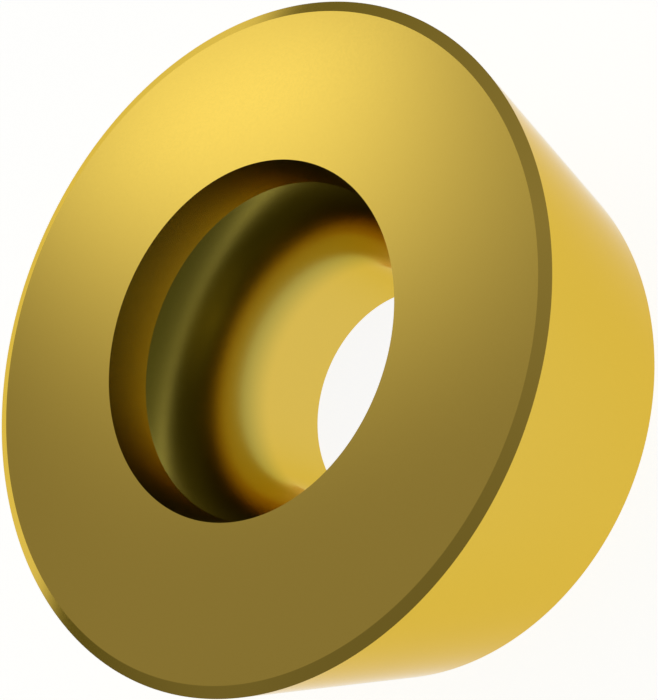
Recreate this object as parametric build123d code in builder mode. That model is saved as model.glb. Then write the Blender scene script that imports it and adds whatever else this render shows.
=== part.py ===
from build123d import *

import os
from math import radians, sqrt, tan

# Round indexable carbide insert, 12 mm across, 4.76 mm thick, with 11 degrees of clearance.
# Millimetres and degrees. The seat lies on Z = 0, the rake face looks up, and the screw hole runs along Z.

# Body
edge_radius = 12.0 / 2  # the round cutting edge
thickness = 4.76  # seat to rake face
clearance_angle = 11.0  # flank from the hole's axis
land_width = 0.20  # land that strengthens the cutting edge, across the face
land_angle = 20.0  # land below the rake face

# Screw hole, from the rake face down. Depths are measured from the rake face.
rim_radius = 6.0 / 2  # crisp edge below the mouth, where the head's seat begins
rim_depth = 0.80
mouth_taper = 10.0  # mouth wall from the hole's axis, so that the head drops in
head_seat_arc = 4.0  # rounded seat for the screw's conical head, bulging towards the axis
bore_radius = 4.4 / 2  # straight bore that centres the screw's shank, which the head's seat runs into smoothly

# Derived sizes
edge_height = thickness - land_width * tan(radians(land_angle))
seat_radius = edge_radius - edge_height * tan(radians(clearance_angle))
mouth_radius = rim_radius + rim_depth * tan(radians(mouth_taper))
head_seat_length = sqrt(head_seat_arc**2 - (head_seat_arc - rim_radius + bore_radius) ** 2)
bore_depth = rim_depth + head_seat_length  # where the head's seat has run out and the bore is straight

with BuildPart() as insert:
    # Pressed blank: the flat seat, the conical flank up to the cutting edge, the land and the flat rake face
    with BuildSketch(Plane.XZ):
        with BuildLine():
            Polyline(
                (0, 0),
                (seat_radius, 0),
                (edge_radius, edge_height),
                (edge_radius - land_width, thickness),
                (0, thickness),
                close=True,
            )
        make_face()
    revolve(axis=Axis.Z)

    # Screw hole: tapered mouth, rounded seat for the head, then the bore down through the seat
    with BuildSketch(Plane.XZ):
        with BuildLine():
            bore_end = (bore_radius, thickness - bore_depth)
            rim = (rim_radius, thickness - rim_depth)
            TangentArc(bore_end, rim, tangent=(0, 1))
            Polyline(rim, (mouth_radius, thickness), (0, thickness), (0, 0), (bore_radius, 0), bore_end)
        make_face()
    revolve(axis=Axis.Z, mode=Mode.SUBTRACT)

insert.part.label = "round_insert"

os.makedirs("parts", exist_ok=True)
export_step(insert.part, "parts/round_insert.step")
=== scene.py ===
"""Looks of a round carbide insert with a gold titanium nitride coating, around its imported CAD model."""

from math import atan2, cos, hypot, pi, radians, sin, sqrt, tan

import bpy
from mathutils import Matrix, Vector


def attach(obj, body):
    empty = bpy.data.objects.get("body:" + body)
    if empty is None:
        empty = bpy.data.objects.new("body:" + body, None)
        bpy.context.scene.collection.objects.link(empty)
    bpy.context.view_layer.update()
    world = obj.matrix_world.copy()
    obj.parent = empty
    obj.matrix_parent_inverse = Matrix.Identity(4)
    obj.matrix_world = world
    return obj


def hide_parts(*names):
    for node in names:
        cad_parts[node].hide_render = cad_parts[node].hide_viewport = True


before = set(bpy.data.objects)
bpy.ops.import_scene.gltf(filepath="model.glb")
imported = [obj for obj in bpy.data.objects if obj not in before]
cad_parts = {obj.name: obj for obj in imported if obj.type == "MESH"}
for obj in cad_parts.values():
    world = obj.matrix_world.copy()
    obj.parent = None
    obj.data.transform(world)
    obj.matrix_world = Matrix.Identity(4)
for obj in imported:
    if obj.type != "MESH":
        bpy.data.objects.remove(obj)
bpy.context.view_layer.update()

MM = 0.001

# ---------------------------------------------------------------- sizes, in millimetres and degrees
EDGE_RADIUS = 6.0
THICKNESS = 4.76
CLEARANCE = 11.0
LAND_WIDTH = 0.20
LAND_ANGLE = 20.0
RIM_RADIUS = 3.0
RIM_DEPTH = 0.80
MOUTH_TAPER = 10.0
HEAD_SEAT_ARC = 4.0
BORE_RADIUS = 2.2

EDGE_HEIGHT = THICKNESS - LAND_WIDTH * tan(radians(LAND_ANGLE))
SEAT_RADIUS = EDGE_RADIUS - EDGE_HEIGHT * tan(radians(CLEARANCE))
MOUTH_RADIUS = RIM_RADIUS + RIM_DEPTH * tan(radians(MOUTH_TAPER))
BORE_DEPTH = RIM_DEPTH + sqrt(HEAD_SEAT_ARC**2 - (HEAD_SEAT_ARC - RIM_RADIUS + BORE_RADIUS) ** 2)

TURNS = 320  # steps round the axis


# ---------------------------------------------------------------- mesh
def line(start, end, steps):
    return [start.lerp(end, i / steps) for i in range(steps + 1)]


def hollow_arc(start, end, radius, steps):
    """An arc whose centre lies on the side away from the axis."""
    way = end - start
    out = Vector((abs(way.y), -way.x * (1 if way.y > 0 else -1))).normalized()
    centre = (start + end) / 2 + out * sqrt(radius**2 - (way.length / 2) ** 2)
    a, b = (atan2(p.y - centre.y, centre.x - p.x) for p in (start, end))
    turns = [a + (b - a) * i / steps for i in range(steps + 1)]
    return [centre + radius * Vector((-cos(t), sin(t))) for t in turns]


def lathe(name, stretches):
    """A closed body of revolution. Stretches of the profile given as one list run smoothly into each other."""
    profile, corners = [], set()
    for stretch in stretches:
        corners.add(len(profile))
        profile += stretch[:-1]
    count = len(profile)
    verts, faces = [], []
    for t in range(TURNS):
        a = 2 * pi * t / TURNS
        verts += [(p.x * cos(a) * MM, p.x * sin(a) * MM, p.y * MM) for p in profile]
    for t in range(TURNS):
        here, there = t * count, (t + 1) % TURNS * count
        for i in range(count):
            j = (i + 1) % count
            faces.append((here + i, there + i, there + j, here + j))
    mesh = bpy.data.meshes.new(name)
    mesh.from_pydata(verts, [], faces)
    mesh.shade_smooth()
    sharp = mesh.attributes.new("sharp_edge", "BOOLEAN", "EDGE")
    for edge in mesh.edges:
        a, b = edge.vertices
        sharp.data[edge.index].value = a % count == b % count and a % count in corners
    piece = bpy.data.objects.new(name, mesh)
    bpy.context.scene.collection.objects.link(piece)
    return piece


seat_inner = Vector((BORE_RADIUS, 0))
seat_outer = Vector((SEAT_RADIUS, 0))
edge = Vector((EDGE_RADIUS, EDGE_HEIGHT))
face_outer = Vector((EDGE_RADIUS - LAND_WIDTH, THICKNESS))
mouth = Vector((MOUTH_RADIUS, THICKNESS))
rim = Vector((RIM_RADIUS, THICKNESS - RIM_DEPTH))
bore_top = Vector((BORE_RADIUS, THICKNESS - BORE_DEPTH))

insert = lathe(
    "coated_insert",
    [
        line(seat_inner, seat_outer, 6),
        line(seat_outer, edge, 8),
        line(edge, face_outer, 2),
        line(face_outer, mouth, 6),
        line(mouth, rim, 3),
        hollow_arc(rim, bore_top, HEAD_SEAT_ARC, 36)[:-1] + line(bore_top, seat_inner, 4),
    ],
)
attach(insert, "root")
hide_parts("round_insert")


# ---------------------------------------------------------------- material
class Graph:
    """Short names for the nodes of a world or a material."""

    def __init__(self, tree):
        self.tree = tree

    def put(self, socket, value):
        if isinstance(value, bpy.types.NodeSocket):
            self.tree.links.new(value, socket)
        else:
            socket.default_value = value

    def math(self, operation, a, b=0.0, clamp=False):
        node = self.tree.nodes.new("ShaderNodeMath")
        node.operation = operation
        node.use_clamp = clamp
        self.put(node.inputs[0], a)
        self.put(node.inputs[1], b)
        return node.outputs[0]

    def dot(self, a, b):
        node = self.tree.nodes.new("ShaderNodeVectorMath")
        node.operation = "DOT_PRODUCT"
        self.put(node.inputs[0], a)
        self.put(node.inputs[1], b)
        return node.outputs["Value"]

    def smooth(self, value, start, end, low=0.0, high=1.0):
        """low at start, high at end, smooth between and level beyond."""
        node = self.tree.nodes.new("ShaderNodeMapRange")
        node.interpolation_type = "SMOOTHSTEP"
        self.put(node.inputs["Value"], value)
        node.inputs["From Min"].default_value = start
        node.inputs["From Max"].default_value = end
        node.inputs["To Min"].default_value = low
        node.inputs["To Max"].default_value = high
        return node.outputs["Result"]

    def tinted(self, value, colour):
        node = self.tree.nodes.new("ShaderNodeVectorMath")
        node.operation = "SCALE"
        node.inputs[0].default_value = colour
        self.put(node.inputs["Scale"], value)
        return node.outputs["Vector"]

    def add(self, a, b):
        node = self.tree.nodes.new("ShaderNodeVectorMath")
        node.operation = "ADD"
        self.put(node.inputs[0], a)
        self.put(node.inputs[1], b)
        return node.outputs["Vector"]

    def mix(self, fac, a, b):
        node = self.tree.nodes.new("ShaderNodeMix")
        node.data_type = "RGBA"
        self.put(node.inputs[0], fac)
        self.put(node.inputs[6], a)
        self.put(node.inputs[7], b)
        return node.outputs[2]


GROUND = (0.73, 0.52, 0.092, 1)
# a darker gold painted on the hole's upper wall as shade for the recess
HOLE_PAINTED_SHADE = (0.43, 0.355, 0.07, 1)
EDGE_TINT = (0.88, 0.75, 0.42, 1)  # keeps the gold from turning white where it is seen at a low angle
GROUND_ROUGHNESS = 0.10
SINTERED_ROUGHNESS = 0.24
DULL_AND_SHADE_FROM, DULL_AND_SHADE_FULL = 1.4, 2.3  # heights in the hole between which the finish turns dull and the colour turns to the darker painted shade
GRAIN = 0.05
GRAIN_RELIEF = 0.0003


def gold_coating(name, in_hole):
    """Titanium nitride with a fine, even grain, some 0.05 mm across, in its gloss and in its surface.

    The outside and the lower bore are ground and glossy. From the head's seat up to the mouth of the screw hole
    the coating lies on the rougher sintered surface, which makes it duller; its colour there is painted darker, a
    painted shade for the recess of the hole.
    """
    material = bpy.data.materials.new(name)
    material.use_nodes = True
    g = Graph(material.node_tree)
    nodes = material.node_tree.nodes
    shader = nodes["Principled BSDF"]
    shader.inputs["Metallic"].default_value = 1.0
    shader.inputs["Specular Tint"].default_value = EDGE_TINT
    place = nodes.new("ShaderNodeTexCoord").outputs["Object"]
    grain = nodes.new("ShaderNodeTexNoise")
    grain.inputs["Scale"].default_value = 1 / (GRAIN * MM)
    grain.inputs["Detail"].default_value = 3.0
    g.put(grain.inputs["Vector"], place)
    spread = 0.04 if in_hole else 0.12
    gloss = g.smooth(grain.outputs[0], 0.3, 0.7, 1 - spread, 1 + spread)
    if in_hole:
        height = g.math("DIVIDE", g.dot(place, (0, 0, 1)), MM)
        dull_and_shade_share = g.smooth(height, DULL_AND_SHADE_FROM, DULL_AND_SHADE_FULL)
        # painted shade: the base colour goes from the ground gold to the darker painted gold up the hole's wall
        g.put(shader.inputs["Base Color"], g.mix(dull_and_shade_share, GROUND, HOLE_PAINTED_SHADE))
        rough = g.smooth(height, DULL_AND_SHADE_FROM, DULL_AND_SHADE_FULL, GROUND_ROUGHNESS, SINTERED_ROUGHNESS)
        g.put(shader.inputs["Roughness"], g.math("MULTIPLY", gloss, rough))
    else:
        shader.inputs["Base Color"].default_value = GROUND
        g.put(shader.inputs["Roughness"], g.math("MULTIPLY", gloss, GROUND_ROUGHNESS))
    bump = nodes.new("ShaderNodeBump")
    bump.inputs["Strength"].default_value = 0.3
    bump.inputs["Distance"].default_value = GRAIN_RELIEF * MM
    g.put(bump.inputs["Height"], grain.outputs[0])
    g.put(shader.inputs["Normal"], bump.outputs[0])
    return material


insert.data.materials.append(gold_coating("gold_outside", in_hole=False))
insert.data.materials.append(gold_coating("gold_in_hole_painted_shade", in_hole=True))
for polygon in insert.data.polygons:
    x, y, z = polygon.center
    polygon.material_index = int(0 < z < THICKNESS * MM and hypot(x, y) < MOUTH_RADIUS * MM)


# ---------------------------------------------------------------- floor
FLOOR_HALF = 1.5  # metres
FLOOR_PAINT = (0.9, 0.9, 0.9, 1)
GLOW_SHARE = 0.55  # the rest of the floor is lit paint, which takes the shadow
GLOW = 1.63  # with the lit paint this share of it comes to white


def plain_floor():
    """White for the camera, for the metal that mirrors it, and through glass. Its painted share keeps the shadow."""
    mesh = bpy.data.meshes.new("floor")
    h = FLOOR_HALF
    mesh.from_pydata([(-h, -h, 0), (h, -h, 0), (h, h, 0), (-h, h, 0)], [], [(0, 1, 2, 3)])
    floor = bpy.data.objects.new("floor", mesh)
    bpy.context.scene.collection.objects.link(floor)
    material = bpy.data.materials.new("floor_white")
    material.use_nodes = True
    g = Graph(material.node_tree)
    nodes = material.node_tree.nodes
    nodes.remove(nodes["Principled BSDF"])
    path = nodes.new("ShaderNodeLightPath").outputs
    seen = g.math("ADD", path["Is Camera Ray"], path["Is Glossy Ray"], clamp=True)
    seen = g.math("ADD", seen, path["Is Transmission Ray"], clamp=True)
    diffuse = nodes.new("ShaderNodeBsdfDiffuse")
    diffuse.inputs["Color"].default_value = FLOOR_PAINT
    glow = nodes.new("ShaderNodeEmission")
    glow.inputs["Strength"].default_value = GLOW
    mix = nodes.new("ShaderNodeMixShader")
    g.put(mix.inputs["Fac"], g.math("MULTIPLY", seen, GLOW_SHARE))
    g.put(mix.inputs[1], diffuse.outputs[0])
    g.put(mix.inputs[2], glow.outputs[0])
    g.put(nodes["Material Output"].inputs["Surface"], mix.outputs[0])
    mesh.materials.append(material)


plain_floor()


# ---------------------------------------------------------------- studio
LEAST_AHEAD = 0.02  # nothing of a panel shows past a right angle from its centre


def direction(azimuth, elevation):
    a, e = radians(azimuth), radians(elevation)
    return Vector((cos(e) * cos(a), cos(e) * sin(a), sin(e)))


def soft_panel(g, view, azimuth, elevation, roll, width, height, soft_width, soft_height, level, tint):
    """Light from a soft-edged panel. Sizes are half widths at a distance of 1, and so is the softness of an edge."""
    centre = direction(azimuth, elevation)
    side = Vector((-sin(radians(azimuth)), cos(radians(azimuth)), 0))
    up = centre.cross(side)
    r = radians(roll)
    side, up = side * cos(r) + up * sin(r), up * cos(r) - side * sin(r)
    ahead = g.dot(view, centre)
    safe = g.math("MAXIMUM", ahead, LEAST_AHEAD)
    u = g.math("ABSOLUTE", g.math("DIVIDE", g.dot(view, side), safe))
    v = g.math("ABSOLUTE", g.math("DIVIDE", g.dot(view, up), safe))
    across = g.smooth(u, width + soft_width, width - soft_width)
    along = g.smooth(v, height + soft_height, height - soft_height)
    front = g.math("GREATER_THAN", ahead, LEAST_AHEAD)
    mask = g.math("MULTIPLY", g.math("MULTIPLY", across, along), front)
    return g.tinted(g.math("MULTIPLY", mask, level), tint)


PANELS = [
    # The key panel, high behind the insert, that the rake face mirrors
    dict(
        azimuth=80, elevation=42.6, roll=-36, width=0.11, height=0.04,
        soft_width=0.10, soft_height=0.19, level=1.76, tint=(1, 1.01, 0.97),
    ),
    # A broad dim sky over it
    dict(
        azimuth=83, elevation=58, roll=-39, width=0.95, height=0.42,
        soft_width=0.40, soft_height=1.50, level=0.345, tint=(1, 0.95, 1.15),
    ),
]


CEILING = 0.126
CEILING_SLOPE = (0.020, -0.014, -0.034)  # how the ceiling's level changes along X, Y and Z
CEILING_TINT = (1, 1.02, 0.50)
BACKDROP_TOP = 0.20  # sine of the elevation up to which the backdrop is white
BACKDROP_END = 0.30  # and of the one where it has faded into the ceiling


def studio_world():
    """One studio for every kind of ray: a white backdrop all round, and a dimmer ceiling with the panels."""
    world = bpy.data.worlds.new("studio")
    bpy.context.scene.world = world
    world.use_nodes = True
    g = Graph(world.node_tree)
    view = world.node_tree.nodes.new("ShaderNodeTexCoord").outputs["Generated"]
    light = g.tinted(g.math("ADD", g.dot(view, CEILING_SLOPE), CEILING), CEILING_TINT)
    for p in PANELS:
        light = g.add(light, soft_panel(g, view, **p))
    backdrop = g.smooth(g.dot(view, (0, 0, 1)), BACKDROP_END, BACKDROP_TOP)
    g.put(world.node_tree.nodes["Background"].inputs["Color"], g.mix(backdrop, light, (1, 1, 1, 1)))


studio_world()


# ---------------------------------------------------------------- camera
CAMERA_PLACE = (-0.501, -22.614, 27.851)
CAMERA_TILT = 43.270
CAMERA_ROLL = -69.633
CAMERA_LENS = 99.16
CAMERA_SHIFT = (0.0867, 0.0421)


def camera():
    data = bpy.data.cameras.new("camera")
    data.sensor_width = 36
    data.lens = CAMERA_LENS
    data.shift_x, data.shift_y = CAMERA_SHIFT
    data.clip_start = 0.001
    cam = bpy.data.objects.new("camera", data)
    bpy.context.scene.collection.objects.link(cam)
    cam.matrix_world = (
        Matrix.Translation(Vector(CAMERA_PLACE) * MM)
        @ Matrix.Rotation(radians(CAMERA_TILT), 4, "X")
        @ Matrix.Rotation(radians(CAMERA_ROLL), 4, "Z")
    )
    bpy.context.scene.camera = cam


camera()
bpy.context.scene.view_settings.view_transform = "Standard"
